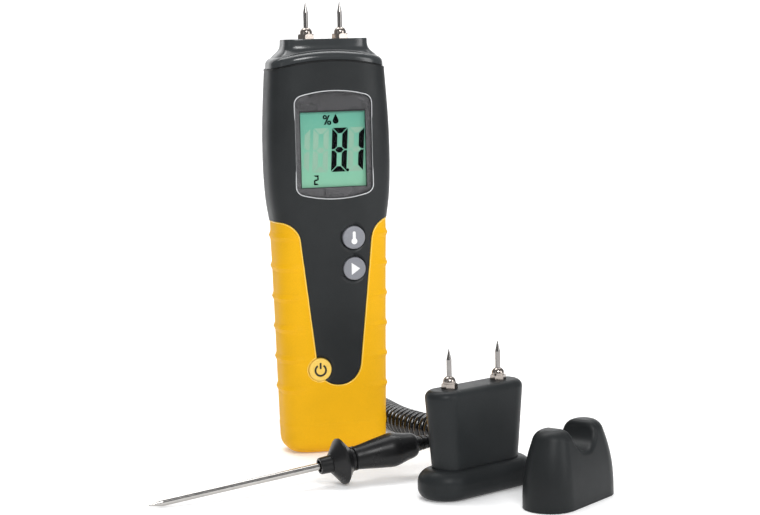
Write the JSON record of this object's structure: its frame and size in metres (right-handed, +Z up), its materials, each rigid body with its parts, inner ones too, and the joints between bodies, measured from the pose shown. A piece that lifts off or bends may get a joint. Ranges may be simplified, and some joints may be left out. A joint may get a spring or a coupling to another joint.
{
  "type": "moisture meter",
  "caption": "Handheld two-pin moisture meter with display, keys, rubber grip and battery bay, plus plug-in needle temperature probe, remote pin block and pin cap.",
  "frame": {"origin": "centre of the meter's flat base, on the surface it stands on", "axes": "+Z up towards the electrode pins, -Y out of the display, +X to the viewer's right"},
  "size_m": [0.1962, 0.2452, 0.2153],
  "materials": {
    "case_plastic": "fine-textured charcoal ABS",
    "head_plastic": "fine-textured charcoal ABS",
    "door_plastic": "fine-textured charcoal ABS",
    "block_plastic": "satin charcoal plastic",
    "grip_rubber": "satin yellow soft-touch rubber",
    "cap_rubber": "satin charcoal rubber",
    "black_rubber": "matt black rubber",
    "needle_steel": "polished hardened steel",
    "shank_steel": "polished stainless steel",
    "screw_steel": "blackened steel",
    "nickel": "bright nickel plate",
    "brass": "turned brass",
    "clear_window": "clear polished acrylic",
    "mask_grey": "printed dark grey film",
    "lcd": "green transflective LCD",
    "white_plastic": "white plastic",
    "key_grey": "grey silicone key",
    "key_yellow": "pale yellow silicone key",
    "board_green": "solder-masked glass epoxy",
    "chip_black": "moulded epoxy",
    "battery_jacket": "printed steel jacket, plain",
    "snap_black": "black plastic",
    "foam": "grey foam",
    "wire_black": "PVC wire",
    "lead_skin": "glossy black polyurethane",
    "lead_plastic": "moulded black PVC",
    "handle_plastic": "satin black plastic"
  },
  "bodies": {
    "meter": {"front_case": "case_plastic", "rear_case": "case_plastic", "grip_front": "grip_rubber", "grip_rear": "grip_rubber", "electrode_head": "head_plastic", "head_gasket": "black_rubber", "head_needles": "needle_steel", "head_collets": "nickel", "head_studs": "brass", "electrode_leads": "wire_black", "display_window": "clear_window", "display_mask": "mask_grey", "lcd_glass": "lcd", "lcd_backlight": "white_plastic", "lcd_frame": "white_plastic", "zebra_strip": "black_rubber", "key_domes": "needle_steel", "circuit_board": "board_green", "board_chips": "chip_black", "board_screws": "nickel", "battery": "battery_jacket", "battery_terminals": "nickel", "battery_snap": "snap_black", "battery_leads": "wire_black", "battery_pad": "foam", "case_screws": "screw_steel", "probe_socket": "snap_black", "socket_barrel": "nickel"},
    "temp_key": {"temp_button": "key_grey"},
    "next_key": {"next_button": "key_grey"},
    "power_key": {"power_button": "key_yellow"},
    "door": {"battery_door": "door_plastic"},
    "temperature_probe": {"probe_plug": "nickel", "plug_grip": "lead_plastic", "plug_relief": "lead_plastic", "curly_lead": "lead_skin", "lead_tail_probe": "lead_skin", "lead_tail_plug": "lead_skin", "probe_shank": "shank_steel", "sensor_bead": "brass", "probe_ferrule": "handle_plastic", "guard_disc": "handle_plastic", "neck_collar": "handle_plastic", "probe_handle": "handle_plastic", "handle_relief": "lead_plastic"},
    "remote_block": {"remote_base": "block_plastic", "remote_body": "block_plastic", "remote_needles": "needle_steel", "remote_collets": "nickel", "remote_studs": "brass", "remote_leads": "wire_black", "remote_jack": "nickel", "remote_screws": "screw_steel"},
    "cap": {"pin_cap": "cap_rubber"}
  },
  "joints": [
    {"name": "temp_key_press", "type": "slide", "parent": "meter", "child": "temp_key", "axis": [0, 1, 0], "range_m": [0, 0.0008], "stiffness_N_per_m": 900, "springref_m": -0.0006},
    {"name": "next_key_press", "type": "slide", "parent": "meter", "child": "next_key", "axis": [0, 1, 0], "range_m": [0, 0.0008], "stiffness_N_per_m": 900, "springref_m": -0.0006},
    {"name": "power_key_press", "type": "slide", "parent": "meter", "child": "power_key", "axis": [0, 1, 0], "range_m": [0, 0.0008], "stiffness_N_per_m": 900, "springref_m": -0.0006},
    {"name": "battery_door_tilt", "type": "hinge", "parent": "meter", "child": "door", "pos_m": [0, 0.0132, 0.04], "axis": [-1, 0, 0], "range_deg": [0, 80]},
    {"name": "probe_plug_pull", "type": "slide", "parent": "meter", "child": "temperature_probe", "axis": [0, 1, 0], "range_m": [0, 0.016]},
    {"name": "remote_block_lift", "type": "slide", "parent": "meter", "child": "remote_block", "axis": [0, 0, 1], "range_m": [0, 0.05]},
    {"name": "pin_cap_lift", "type": "slide", "parent": "meter", "child": "cap", "axis": [0, 0, 1], "range_m": [0, 0.05]}
  ]
}
